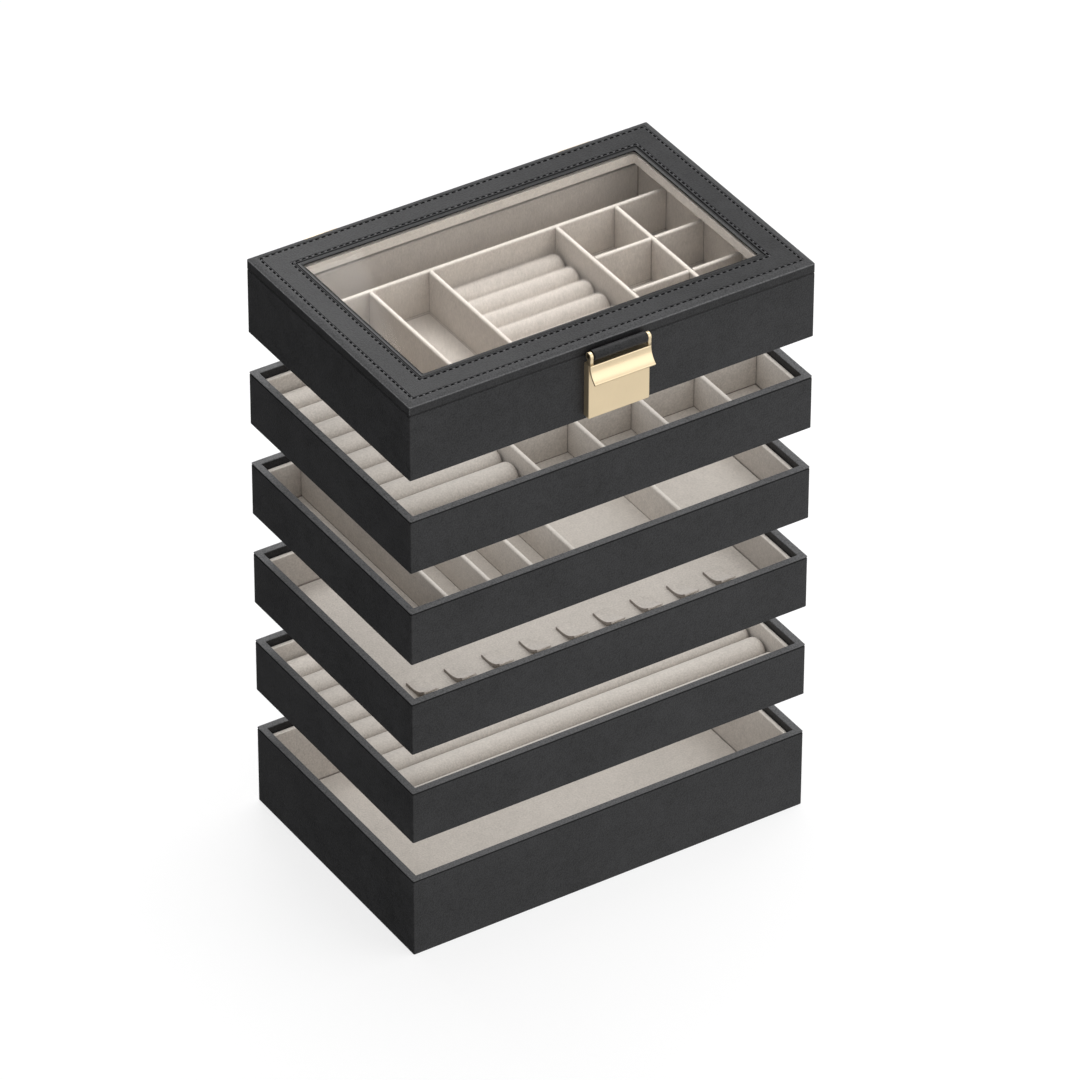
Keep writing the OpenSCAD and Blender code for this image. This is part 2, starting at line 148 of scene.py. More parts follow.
class ORGANIZER_PG_velvet(bpy.types.PropertyGroup):
    """Velvet of the liners, floors, dividers, rolls and tabs"""

    colour: tone("Colour", "#c5beb6", "Colour of the velvet")
    # Colour of the painted highlight and painted light, as on top edges
    crest_highlight: tone("Crest", "#ebe4db", "Colour of the pile where it is stretched over an edge")
    # Colour of the painted shade in seams, creases and corners
    painted_shade: tone("Dusk", "#4a3c31", "Colour of the pile that is pressed down in a seam")
    tuft: size("Tuft", 1.2, "Size of a tuft of the pile")
    # Width of the painted shade along a seam
    seam: size("Seam", 1.0, "Width of the dark line along a seam")
    edge: size("Edge", 1.1, "Radius of the top edge of a liner")
    divider_edge: size("Divider edge", 1.35, "Radius of the top edges of a divider")
    corner: size("Corner", 1.2, "Radius of the inner corners of a liner")
    crease: size("Crease", 0.15, "Gap at the ends of a divider")
    crown: size("Crown", 0.35, "Height of the crown of a padded floor")
    dome: size("Dome", 5.0, "Length of the domed end of a ring roll")
    wobble: size("Wobble", 0.12, "Unevenness of a ring roll")


class ORGANIZER_PG_lid(bpy.types.PropertyGroup):
    """Edges and stitching of the lid"""

    outer_row: size("Outer row", 6.0, "Distance of the outer row of stitches from the edge")
    inner_row: size("Inner row", 20.6, "Distance of the inner row of stitches from the edge")
    groove: size("Groove", 0.5, "Depth of the groove that a row is pulled into")
    edge_fall: size("Edge fall", 1.9, "Fall of the padded edge outside the outer row")
    pitch: size("Pitch", 4.6, "Length of a stitch with its gap")
    stitch: size("Stitch", 3.5, "Length of a stitch")
    thread: size("Thread", 0.62, "Half the width of the thread")
    thread_colour: tone("Thread colour", "#060607", "Colour of the thread")


class ORGANIZER_PG_brass(bpy.types.PropertyGroup):
    """Metal of the clasp and the hinges"""

    colour: tone("Colour", "#dcc9a7", "Colour of the satin brass")
    roughness: share("Roughness", 0.3, "Roughness of the satin brass")
    edge: size("Edge", 0.4, "Radius of the edges of the brass pieces")
    flap_thick: size("Flap thickness", 1.4, "Thickness of the flap")
    flap_hollow: size("Flap hollow", 13, "Radius of the hollow of the flap")
    flap_sweep: turn("Flap sweep", 56, "Angle through which the flap curves outwards")
    flap_drop: size("Flap drop", 6.2, "Depth of the top edge of the flap below the bar")
    flap_gap: size("Flap gap", 0.3, "Clearance between the flap and the catch block")
    ear: size("Ear", 2.4, "Thickness of an ear of the hasp")
    leaf: size("Leaf", 1, "Thickness of a hinge leaf")
    hinge: size("Hinge", 26, "Width of a hinge")
    screw_head: size("Screw head", 0.8, "Height of a screw head")


class ORGANIZER_PG_stage(bpy.types.PropertyGroup):
    """Floor, light and camera"""

    azimuth: turn("Azimuth", -32.509, "Direction of the view, from straight ahead")
    elevation: turn("Elevation", 35.611, "Height of the camera above the horizon")
    roll: turn("Roll", 0.15, "Turn of the picture about the line of sight")
    distance: size("Distance", 5140.4, "Distance of the camera")
    right: size("Right", 5.75, "How far the view is aimed right of the middle of the lid")
    up: size("Up", -176.7, "How far the view is aimed above the middle of the lid")
    lens: number("Lens", 272.5, "Focal length on a 36 mm sensor", unit="CAMERA")
    floor: tone("Floor", "#8a8a8a", "Colour of the floor")
    floor_glow: strength("Floor glow", 0.75, "Light that the floor gives off")
    tray_light: strength("Tray light", 1.0, "Brightness of the soft light below each tier")
    sky_low: strength("Sky low", 0.1, "Brightness of the studio's dome on its dark side")
    sky_high: strength("Sky high", 1.0, "Brightness of the studio's dome on its bright side")
    overhead: strength("Overhead", 2.3, "Brightness of the overhead softbox")
    side: strength("Side", 1.0, "Brightness of the softbox on the right")
    rear: strength("Rear", 5.0, "Brightness of the small softbox behind the lid")


# Shapes. A shape is a grid of points whose rows are closed loops, and each row joins the next


def points_of(*places):
    """Points from arrays of their coordinates."""
    return np.stack(np.broadcast_arrays(*places), axis=-1)


def quarter(count):
    """Angles over a quarter of a circle, with both its ends."""
    return np.linspace(0, math.pi / 2, count)


def circle(count):
    """Angles round a whole circle."""
    return np.arange(count) * 2 * math.pi / count


def rounded(outline, closed=False):
    """Rows (inset, height) of a profile with rounded corners. A corner (inset, height, radius) stays as
    it is where it ends the profile or its radius is 0. Otherwise it becomes an arc that touches both its
    sides, found by turning one touching spoke of the circle into the other, and a support row follows
    each end of the arc."""
    points = np.array([corner[:2] for corner in outline], float)
    rows = []
    for i, corner in enumerate(outline):
        here = points[i]
        ends = not closed and i in (0, len(outline) - 1)
        if ends or corner[2] == 0:
            rows.append(here[None])
            continue
        sides = np.stack([points[i - 1] - here, points[(i + 1) % len(points)] - here])
        reach = np.linalg.norm(sides, axis=1)
        sides /= reach[:, None]
        half = math.acos(np.clip(sides[0] @ sides[1], -1, 1)) / 2
        cut = min(corner[2] / math.tan(half), 0.45 * reach.min())
        middle = sides.sum(axis=0)
        centre = here + middle / np.linalg.norm(middle) * cut / math.cos(half)
        spokes = here + sides * cut - centre
        sweep = math.pi - 2 * half
        t = np.linspace(0, 1, ARC_STEPS + 1)[:, None]
        bend = (np.sin((1 - t) * sweep) * spokes[0] + np.sin(t * sweep) * spokes[1]) / math.sin(sweep)
        support = here + sides * (cut + np.minimum(SUPPORT, 0.03 * reach))[:, None]
        rows += [support[:1], centre + bend, support[1:]]
    return np.concatenate(rows)


def carried(profile, half, corners):
    """A profile carried round a rounded rectangle. A row (inset, height) goes round the rectangle of
    half size half - inset, anticlockwise from above, and its corner radius runs from corners[0] at
    inset 0 to corners[1] at the largest inset. The half size of a centred box is its highest corner."""
    inset, level = profile.T[:, :, None, None]
    radius = corners[0] + (corners[1] - corners[0]) * inset / max(inset.max(), HAIR)
    angle = np.arange(4)[None, :, None] * math.pi / 2 + quarter(ARC_STEPS + 1)
    sign_x, sign_y = np.array([[1, -1, -1, 1], [1, 1, -1, -1]])[:, None, :, None]
    x = sign_x * (half[0] - inset - radius) + radius * np.cos(angle)
    y = sign_y * (half[1] - inset - radius) + radius * np.sin(angle)
    return points_of(x, y, level).reshape(len(profile), -1, 3)


def prism(outline, low, high, edge):
    """A closed outline (y, z), anticlockwise from the +X end, carried along X from low to high. Near
    both ends it shrinks along its normals on a quarter circle of the edge radius."""
    along = np.roll(outline, -1, axis=0) - np.roll(outline, 1, axis=0)
    normal = points_of(along[:, 1], -along[:, 0]) / np.linalg.norm(along, axis=1)[:, None]
    angle = quarter(ARC_STEPS + 1)
    shrink = edge * (1 - np.sin(angle))
    rise = edge * (1 - np.cos(angle))
    x = np.concatenate([low + rise, [low + edge + SUPPORT, high - edge - SUPPORT], high - rise[::-1]])
    inset = np.concatenate([shrink, [0, 0], shrink[::-1]])
    y, z = np.moveaxis(outline - inset[:, None, None] * normal, -1, 0)
    return points_of(x[:, None], y, z)


def turned(profile, centre, columns):
    """A profile (along, radius) turned about the line along X through the centre."""
    angle = circle(columns)
    along, radius = profile[:, :1], profile[:, 1:]
    return points_of(along, radius * np.cos(angle), radius * np.sin(angle)) + centre


def plate(low, high, back, front, corner, edge):
    """A plate on an upright wall, from the plane y = back to the plane y = front: a rounded rectangle
    in X and Z, as large as the box from low to high, whose front edge falls on a quarter circle."""
    outwards = 1 if front > back else -1
    thick = abs(front - back)
    half = np.array([high[0] - low[0], high[2] - low[2]]) / 2
    profile = rounded([(edge, 0, 0), (0, 0, HAIR), (0, thick, edge), (min(half) / 2, thick, 0)])
    inner = max(corner - min(half) / 2, HAIR)
    x, z, y = np.moveaxis(carried(profile, half, (corner, inner)), -1, 0)
    middle = (low + high) / 2
    return points_of(middle[0] - outwards * x, back + outwards * y, middle[2] + z)


def arc(centre, radius, start, stop, steps):
    """Points (y, z) on a circle, from one angle to another."""
    angle = np.linspace(start, stop, steps)
    return points_of(centre[0] + radius * np.cos(angle), centre[1] + radius * np.sin(angle))


def smooth(t):
    """Smooth step of t, held from 0 to 1."""
    t = np.clip(t, 0, 1)
    return t * t * (3 - 2 * t)


def mesh_of(name, grids, ring, tints):
    """One mesh from grids of points. A grid with four axes holds many like shapes. The last row joins
    the first one where the shape is a ring, and otherwise one face closes each end. A tint is one
    number, or has one for each row or for each point of its grid."""
    points, quads, ends, start = [], [], [], 0
    for grid in grids:
        stack = grid if grid.ndim == 4 else grid[None]
        copies, rows, columns = stack.shape[:3]
        i = np.arange(rows if ring else rows - 1)[:, None] * columns
        j = np.arange(columns)[None]
        above = (i + columns) % (rows * columns)
        face = np.stack([i + j, i + (j + 1) % columns, above + (j + 1) % columns, above + j], axis=-1)
        first = start + np.arange(copies)[:, None] * rows * columns
        quads.append((face.reshape(1, -1, 4) + first[:, :, None]).reshape(-1, 4))
        if not ring:
            last = (rows - 1) * columns
            ends += (first + np.arange(columns)[::-1]).tolist()
            ends += (first + last + np.arange(columns)).tolist()
        points.append(stack.reshape(-1, 3))
        start += copies * rows * columns
    mesh = bpy.data.meshes.new(name)
    mesh.from_pydata(np.concatenate(points).tolist(), [], np.concatenate(quads).tolist() + ends)
    mesh.polygons.foreach_set("use_smooth", np.ones(len(mesh.polygons), bool))
    if tints is not None:
        spread = [np.broadcast_to(tint, grid.shape[:-1]).ravel() for tint, grid in zip(tints, grids)]
        values = np.concatenate(spread).astype(np.float32)
        mesh.attributes.new("tint", "FLOAT", "POINT").data.foreach_set("value", values)
    return mesh


def placed(name, data):
    """A new object, in the scene."""
    obj = bpy.data.objects.new(name, data)
    bpy.context.scene.collection.objects.link(obj)
    return obj


def piece(name, body, make, grids, ring=False, tints=None, replaces=None):
    """A piece with the finish that a function makes, which rides on a body and stands for a packed
    node."""
    obj = placed(name, mesh_of(name, grids, ring, tints))
    obj.data.materials.append(finish_of(make))
    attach(obj, body)
    if replaces:
        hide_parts(replaces)


def coat(node, make):
    """Gives a packed node that stays in view its finish."""
    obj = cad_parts[node]
    obj.data.materials.clear()
    obj.data.materials.append(finish_of(make))


def box_of(node):
    """Lowest and highest corner of a packed node, as arrays."""
    low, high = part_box(node)
    return np.array(low), np.array(high)


def axis_of(node):
    """Place (y, z) of the axis of a packed node that lies along X."""
    return sum(box_of(node))[1:] / 2


def solids(node):
    """Boxes of the separate solids of a packed node. Points at one place share a label, and each
    triangle hands its lowest label to its corners until no label changes."""
    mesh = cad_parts[node].data
    points = np.zeros(len(mesh.vertices) * 3, np.float32)
    mesh.vertices.foreach_get("co", points)
    points = points.reshape(-1, 3).astype(float)
    corners = np.zeros(len(mesh.loops), np.int32)
    mesh.loops.foreach_get("vertex_index", corners)
    place = np.unique(np.round(points / HAIR).astype(int), axis=0, return_inverse=True)[1].ravel()
    triangles = place[corners].reshape(-1, 3)
    label = np.arange(place.max() + 1)
    settled = False
    while not settled:
        handed = label.copy()
        np.minimum.at(handed, triangles.ravel(), np.repeat(label[triangles].min(axis=1), 3))
        settled = (handed == label).all()
        label = handed
    found = [points[label[place] == one] for one in np.unique(label)]
    boxes = [(part.min(axis=0), part.max(axis=0)) for part in found]
    return sorted(boxes, key=lambda box: tuple(np.round(box[0] / MM)))


# Finishes


class Value:
    """An output that gives a number. An expression on values adds its Math nodes."""

    def __init__(self, shader, socket):
        self.shader = shader
        self.socket = socket

    def maths(self, operation, left, right):
        return self.shader.node("ShaderNodeMath", {"operation": operation}, {0: left, 1: right})

    def __add__(self, other):
        return self.maths("ADD", self, other)

    def __sub__(self, other):
        return self.maths("SUBTRACT", self, other)

    def __rsub__(self, other):
        return self.maths("SUBTRACT", other, self)

    def __mul__(self, other):
        return self.maths("MULTIPLY", self, other)

    __radd__ = __add__
    __rmul__ = __mul__


class Shader:
    """A node tree of a finish or of the studio's dome."""

    def __init__(self, tree, target):
        self.tree = tree
        self.target = tree.nodes[target]

    def node(self, kind, settings, inputs, output=0):
        """Adds a node: its settings first, such as an operation, then the values or links of its
        sockets. Gives the wanted output."""
        made = self.tree.nodes.new(kind)
        for name, value in settings.items():
            setattr(made, name, value)
        for socket, value in inputs.items():
            self.feed(made.inputs[socket], value)
        return Value(self, made.outputs[output])

    def feed(self, socket, value):
        if isinstance(value, Value):
            self.tree.links.new(value.socket, socket)
        else:
            socket.default_value = value

    def set(self, **inputs):
        """Feeds sockets of the target node, named in lower case and joined by underscores."""
        for name, value in inputs.items():
            self.feed(self.target.inputs[SOCKETS.get(name, name.replace("_", " ").title())], value)

    def place(self, output="Object"):
        return self.node("ShaderNodeTexCoord", {}, {}, output)

    def noise(self, feature, detail=2.0, stretch=None):
        """Noise from 0 to 1, with features of the given size, or longer ones along a stretched axis."""
        place = self.place()
        if stretch:
            place = self.node("ShaderNodeMapping", {}, {"Vector": place, "Scale": stretch})
        inputs = {"Vector": place, "Scale": 1 / feature, "Detail": detail}
        return self.node("ShaderNodeTexNoise", {}, inputs)

    def pebbles(self, feature):
        """Distance from the nearest of scattered points, which is lowest on top of each pebble."""
        inputs = {"Vector": self.place(), "Scale": 1 / feature, "Smoothness": 0.4}
        return self.node("ShaderNodeTexVoronoi", {"feature": "SMOOTH_F1"}, inputs)

    def mix(self, factor, first, second):
        """Mixes two colours."""
        return self.node("ShaderNodeMix", {"data_type": "RGBA"}, {0: factor, 6: first, 7: second}, 2)

    def tint(self):
        return self.node("ShaderNodeAttribute", {"attribute_name": "tint"}, {}, "Fac")

    def bump(self, height, depth, amount):
        """Normal of a surface whose height runs from 0 to the depth."""
        return self.node("ShaderNodeBump", {}, {"Strength": amount, "Distance": depth, "Height": height})


SOCKETS = {"ior": "IOR", "specular": "Specular IOR Level"}


def finish_of(make):
    """The material that a function makes, made on its first use."""
    name = make.__name__
    if name not in bpy.data.materials:
        material = bpy.data.materials.new(name)
        material.use_nodes = True
        make(Shader(material.node_tree, "Principled BSDF"))
    return bpy.data.materials[name]


def lighter(colour, factor):
    """A colour made lighter or darker."""
    return tuple(min(1.0, c * factor) for c in colour[:3]) + (1.0,)


def black_leatherette(shader):
    """Black leatherette: a pebbled grain with lighter tops from wear, and broad cloudy tones. Its tint
    runs from -1, painted shade as in a fold, to 1, a painted highlight along an edge."""
    look = bpy.context.scene.organizer_leather
    pebble = shader.pebbles(look.pebble)
    crumb = shader.noise(look.pebble * 0.5, 3.0)
    cloud = shader.noise(45 * MM)
    # Random mottled wear of the surface
    wear_and_highlight = shader.noise(7 * MM, 3.0)
    grain = 0.55 * (1 - pebble) + 0.45 * crumb
    tint = shader.tint()
    # Tone from the grain, clouds and wear, plus painted light and shade from the tint
    shade = 1.1 * grain + 0.5 * cloud + 0.55 * wear_and_highlight + 0.7 * tint - 0.62
    base = shader.mix(shade, lighter(look.colour, 0.35), lighter(look.colour, 1.85))
    # Painted highlight where the tint is above 0, broken up by the grain
    highlight_mix = tint.maths("MAXIMUM", tint, 0) * (1.5 * grain - 0.2)
    shader.set(
        base_color=shader.mix(highlight_mix, base, tuple(look.painted_highlight)),
        roughness=look.roughness + 0.24 * crumb + 0.12 * wear_and_highlight - 0.18,
        specular=0.2,
        normal=shader.bump(grain, 0.2 * MM, 0.9))


def greige_velvet(shader):
    """Short-pile velvet: tufts and soft brush marks. Its tint runs from -1, painted shade as in a seam,
    to 1, a painted highlight as on a top edge."""
    look = bpy.context.scene.organizer_velvet
    tuft = shader.noise(look.tuft, 3.0)
    nap = shader.noise(6 * MM, 3.0)
    sweep = shader.noise(38 * MM, 1.0)
    shade = 0.75 * tuft + 0.25 * nap + 0.2 * sweep - 0.1
    pile = shader.mix(shade, lighter(look.colour, 0.55), lighter(look.colour, 1.36))
    tint = shader.tint()
    # Painted highlight where the tint is above 0
    pile = shader.mix(0.5 * tint.maths("MAXIMUM", tint, 0), pile, tuple(look.crest_highlight))
    shader.set(
        # Painted shade where the tint is below 0
        base_color=shader.mix(0 - tint.maths("MINIMUM", tint, 0), pile, tuple(look.painted_shade)),
        roughness=0.92,
        specular=0.1,
        sheen_weight=0.25,
        sheen_roughness=0.5,
        normal=shader.bump(0.7 * tuft + 0.3 * nap, 0.3 * MM, 0.7))


def black_cloth(shader):
    """Black cloth over the base boards: a plain weave of threads along X and Y."""
    thread = 0.6 * MM
    place = shader.place()
    threads = {"Vector": place, "Scale": 0.32 / thread}
    weave = 0.5 * shader.node("ShaderNodeTexWave", {"bands_direction": "X"}, threads, "Fac")
    weave = weave + 0.5 * shader.node("ShaderNodeTexWave", {"bands_direction": "Y"}, threads, "Fac")
    fuzz = shader.noise(0.4 * MM)
    shader.set(
        base_color=shader.mix(0.6 * weave + 0.4 * fuzz, linear("#131313"), linear("#2a2a2a")),
        roughness=0.9,
        specular=0.2,
        normal=shader.bump(0.7 * weave + 0.3 * fuzz, 0.1 * MM, 0.6))


def satin_brass(shader):
    """Pale satin brass, brushed up and down."""
    look = bpy.context.scene.organizer_brass
    brushed = shader.noise(0.16 * MM, 2.0, (1, 1, 0.03))
    cloud = shader.noise(14 * MM)
    streak = 0.5 * brushed + 0.5 * cloud
    shader.set(
        base_color=shader.mix(streak, lighter(look.colour, 0.9), lighter(look.colour, 1.06)),
        metallic=0.85,
        roughness=look.roughness + 0.1 * brushed + 0.08 * cloud - 0.08,
        normal=shader.bump(brushed, 0.006 * MM, 0.5))


def clear_glass(shader):
    """Clear float glass, thin enough to let most light straight through."""
    edge = shader.node("ShaderNodeLayerWeight", {}, {"Blend": 0.35}, "Fresnel")
    shader.set(
        base_color=shader.mix(shader.noise(60 * MM), linear("#f8f5f3"), linear("#f3f0ee")),
        roughness=0.02 + 0.02 * shader.noise(35 * MM),
        transmission_weight=1.0,
        ior=1.01,
        coat_weight=0.3,
        coat_roughness=0.02,
        alpha=0.1 + 0.5 * edge)


def nickel(shader):
    """Nickel plating, with fine scratches."""
    scratch = shader.noise(0.4 * MM, 4.0, (1, 1, 0.2))
    shader.set(
        base_color=shader.mix(scratch, linear("#a9a9ac"), linear("#c9c9cc")),
        metallic=1.0,
        roughness=0.22 + 0.15 * scratch)


def black_gloss(shader):
    """Glossy black bead, with a faint waviness."""
    wave = shader.noise(9 * MM, 1.0)
    shader.set(
        base_color=shader.mix(wave, linear("#070708"), linear("#121213")),
        roughness=0.3 + 0.12 * wave,
        specular=0.25,
        normal=shader.bump(wave, 0.08 * MM, 0.4))


def black_thread(shader):
    """Waxed black thread, a little lighter where its strands catch the light."""
    look = bpy.context.scene.organizer_lid
    strand = shader.noise(0.25 * MM, 1.0)
    shader.set(
        base_color=shader.mix(strand, lighter(look.thread_colour, 0.7), lighter(look.thread_colour, 2.2)),
        roughness=0.7 + 0.2 * strand,
        specular=0.04,
        normal=shader.bump(strand, 0.1 * MM, 0.6))


def pale_floor(shader):
    """Pale floor, a little self-lit so that its shadows stay faint."""
    look = bpy.context.scene.organizer_stage
    shader.set(
        base_color=tuple(look.floor),
        roughness=0.9,
        specular=0.0,
        emission_color=(1, 1, 1, 1),
        emission_strength=look.floor_glow)


# Pieces. Each operator comes after the functions that it calls


class ORGANIZER_OT_walls(bpy.types.Operator):
    """Wrapped walls of every tier. Below the rim runs a fold line, but not where the lid covers it"""

    bl_idname = "organizer.walls"
    bl_label = "Walls"

    def execute(self, context):
        look = context.scene.organizer_leather
        for tier, body in TIERS.items():
            low, high = box_of(tier + "_walls")
            thick = high[0] - box_of(tier + "_liner")[1][0]
            fold, half = high[2] - look.fold_drop, 0.6 * MM
            outline = [(0, low[2], EASED)]
            if body != "top_box":
                steps = [(0, -half), (look.fold, -half / 2), (look.fold, half / 2), (0, half)]
                outline += [(inset, fold + rise, CRISP) for inset, rise in steps]
            outline += [(0, high[2], look.rim), (thick, high[2], EASED), (thick, low[2], 0.4 * MM)]
            profile = rounded(outline, closed=True)
            grid = carried(profile, high, (look.corner, 0.3 * MM))
            # Painted highlight along the rim and on the inner face, and painted shade in the fold
            inset, level = profile.T[..., None]
            # Strength of the painted rim highlight, weak on the top box
            wear_and_highlight = 0.2 if body == "top_box" else 1
            painted_highlight = wear_and_highlight * smooth((level - high[2]) / look.rim + 1)
            folded = smooth(inset / look.fold) * (abs(level - fold) < half)
            within = 0.6 * (inset > thick - HAIR) * (1 - painted_highlight)
            tint = painted_highlight + within - (1 + painted_highlight) * folded
            piece(tier + "_wrapped_walls", body, black_leatherette, [grid], ring=True, tints=[tint],
                  replaces=tier + "_walls")
        return {"FINISHED"}


class ORGANIZER_OT_bases(bpy.types.Operator):
    """Base board of every tier, with the plinth that drops into the rim of the tier below"""

    bl_idname = "organizer.bases"
    bl_label = "Bases"

    def execute(self, context):
        step = 0.5 * MM
        for tier, body in TIERS.items():
            low, high = box_of(tier + "_base")
            floor = box_of(tier + "_walls")[0][2]
            top = high[2] - HAIR
            outline = [(HAIR, floor, CRISP), (HAIR, top, CRISP), (MM, top, 0)]
            if low[2] < floor - HAIR:
                foot = [(step + 2 * MM, low[2], 0), (step, low[2], 0.9 * MM), (step, floor, CRISP)]
            else:
                foot = [(MM, floor, 0)]
            grid = carried(rounded(foot + outline), high, (EASED, EASED))
            piece(tier + "_base_board", body, black_cloth, [grid], replaces=tier + "_base")
        return {"FINISHED"}


class ORGANIZER_OT_liners(bpy.types.Operator):
    """Velvet liner of every tier, with rounded inner corners and a rounded top edge"""

    bl_idname = "organizer.liners"
    bl_label = "Liners"

    def execute(self, context):
        look = context.scene.organizer_velvet
        for tier, body in TIERS.items():
            low, high = box_of(tier + "_liner")
            pad = box_of(tier + "_floor_pad")[1]
            thick = high[0] - pad[0]
            sill = pad[2] - look.crown
            profile = rounded([
                (HAIR, low[2], 0), (HAIR, high[2], look.edge), (thick, high[2], look.edge),
                (thick, sill + look.seam, 0), (thick, sill + 0.3 * look.seam, 0), (thick, low[2], 0)])
            grid = carried(profile, high, (0.5 * MM, look.corner))
            # Painted highlight on the top edge, and painted shade in the seam, in the corners and on shaded
            # walls
            crest_highlight = smooth((grid[..., 2] - high[2]) / look.edge + 1)
            inside = grid[..., 2] < sill + 0.5 * look.seam
            across = np.tile(np.sin(np.linspace(0, math.pi, ARC_STEPS + 1)), 4)
            face = profile[:, :1] > thick - HAIR
            corner = face * across ** 2
            wall = face * DARK_WALLS.get(tier, 0)
            dark = np.maximum(np.maximum(0.6 * inside, 0.65 * corner), wall)
            tint = crest_highlight - dark * (1 - crest_highlight)
            piece(tier + "_velvet_liner", body, greige_velvet, [grid], ring=True, tints=[tint],
                  replaces=tier + "_liner")
        return {"FINISHED"}


class ORGANIZER_OT_floors(bpy.types.Operator):
    """Padded velvet floor of every tier, crowned towards the middle"""

    bl_idname = "organizer.floors"
    bl_label = "Floors"

    def execute(self, context):
        look = context.scene.organizer_velvet
        rim, run = 4 * MM, 30 * MM
        for tier, body in TIERS.items():
            low, high = box_of(tier + "_floor_pad")
            brim = high[2] - look.crown
            side = rounded([(HAIR, low[2], 0), (HAIR, brim, ROUND), (rim, brim, 0)])
            t = np.linspace(0, 1, 9)[1:]
            swell = points_of(rim + run * t, brim + look.crown * smooth(t))
            profile = np.concatenate([side, swell])
            grid = carried(profile, high, (look.corner, look.corner))
            seam = 1 - smooth(profile[:, :1] / look.seam)
            # Painted light over a bare floor, and painted shade along the seam round its edge
            tint = PALE_FLOORS.get(tier, 0) * (1 - seam) - 0.6 * seam
            piece(tier + "_padded_floor", body, greige_velvet, [grid], tints=[tint],
                  replaces=tier + "_floor_pad")
        return {"FINISHED"}


def divider(low, high, look):
    """An upright board whose section has two quarter circles at its top, carried along X, and turned
    a quarter about Z where the board runs along Y: (x, y) becomes (-y, x). Gives grid and tint."""
    extent, middle = high - low, (low + high) / 2
    along_y = extent[1] > extent[0]
    run, thick = (extent[1], extent[0]) if along_y else (extent[0], extent[1])
    tall, bow = extent[2], look.divider_edge
    outline = [(-1, 0, HAIR), (1, 0, HAIR), (1, tall, bow), (-1, tall, bow)]
    section = rounded([(side * thick / 2, z, edge) for side, z, edge in outline], closed=True)
    side = np.array([[thick / 2, look.seam], [thick / 2, tall - PALE_TOP]])
    first = np.argmax(section[:, 1] > side[0, 1])
    section = np.insert(section, [first, first], side, axis=0)
    section = np.concatenate([section, side[::-1] * [-1, 1]])
    half = run / 2 - look.crease
    grid = prism(section, -half, half, 0.3 * MM)
    if along_y:
        grid = points_of(-grid[..., 1], grid[..., 0], grid[..., 2])
    grid = grid + [middle[0], middle[1], low[2]]
    return grid, divider_tint(grid, low, high, look)


def divider_tint(grid, low, high, look):
    """Painted highlight along the top, and painted shade along the floor and at both ends."""
    crest_highlight = smooth((grid[..., 2] - high[2]) / PALE_TOP + 1)
    foot = grid[..., 2] < low[2] + 0.5 * look.seam
    end = np.minimum(grid[..., :2] - low[:2], high[:2] - grid[..., :2])
    end = end[..., np.argmax((high - low)[:2])] < look.crease + 0.35 * MM
    return crest_highlight - 0.75 * (foot | end) * (1 - crest_highlight)


class ORGANIZER_OT_dividers(bpy.types.Operator):
    """Velvet dividers, each with a rounded top and a hairline at both ends"""

    bl_idname = "organizer.dividers"
    bl_label = "Dividers"

    def execute(self, context):
        look = context.scene.organizer_velvet
        for body, kinds in DIVIDERS.items():
            for kind in kinds:
                node = body + "_" + kind
                grids, tints = zip(*[divider(low, high, look) for low, high in solids(node)])
                piece(node.replace("divider", "velvet_divider"), body, greige_velvet, grids,
                      tints=tints, replaces=node)
        return {"FINISHED"}


def roll(low, high, look, paler, rng):
    """A roll along X. Over its ends the radius falls on a quarter circle, a few slow waves along and
    round it make the foam uneven, and points below the base lie on it. Gives grid and tint."""
    radius = (high[1] - low[1]) / 2
    run = high[0] - low[0]
    butt = 1.2 * MM
    rise = 1 - np.cos(quarter(11))
    middle = np.linspace(butt, run - look.dome, 30)[1:-1]
    along = np.concatenate([butt * rise, middle, run - look.dome * rise[::-1]])
    edge = np.clip(np.maximum(1 - along / butt, 1 - (run - along) / look.dome), 0, 1)
    girth = radius - np.where(along < run / 2, butt, look.dome) * (1 - np.sqrt(1 - edge ** 2))
    angle = circle(48)
    phase = rng.uniform(0, 2 * math.pi, 2)
    wave = np.sin(along[:, None] / (17 * MM) + phase[0] + 2 * angle)
    wave = (wave + np.sin(along[:, None] / (9 * MM) + phase[1] - angle)) / 2
    reach = girth[:, None] - look.wobble * (0.5 + 0.5 * wave)
    y = (low[1] + high[1]) / 2 + reach * np.cos(angle)
    z = np.maximum(high[2] - radius + reach * np.sin(angle), low[2])
    grid = points_of(low[0] + along[:, None], y, z)
    return grid, roll_tint(grid, low, high, look, paler)


def roll_tint(grid, low, high, look, paler):
    """Painted highlight along the top, and painted shade in the crease beside the next roll and at the
    domed end.
    """
    rise = (grid[..., 2] - high[2]) / (high[1] - low[1]) + 0.5
    crease = 1 - smooth((rise - 0.02) / 0.2)
    end = smooth((grid[..., 0] - high[0]) / (0.6 * look.dome) + 1)
    return paler * smooth((rise - 0.25) * 4) - 0.8 * crease - 0.35 * end * (1 - crease)


class ORGANIZER_OT_rolls(bpy.types.Operator):
    """Ring rolls: velvet over foam, domed at the right end and flat underneath"""

    bl_idname = "organizer.rolls"
    bl_label = "Ring rolls"

    def execute(self, context):
        look = context.scene.organizer_velvet
        rng = np.random.default_rng(7)
        for body, paler in ROLLS.items():
            node = body + "_ring_rolls"
            grids, tints = zip(*[roll(low, high, look, paler, rng) for low, high in solids(node)])
            piece(body + "_padded_ring_rolls", body, greige_velvet, grids, tints=tints, replaces=node)
        return {"FINISHED"}


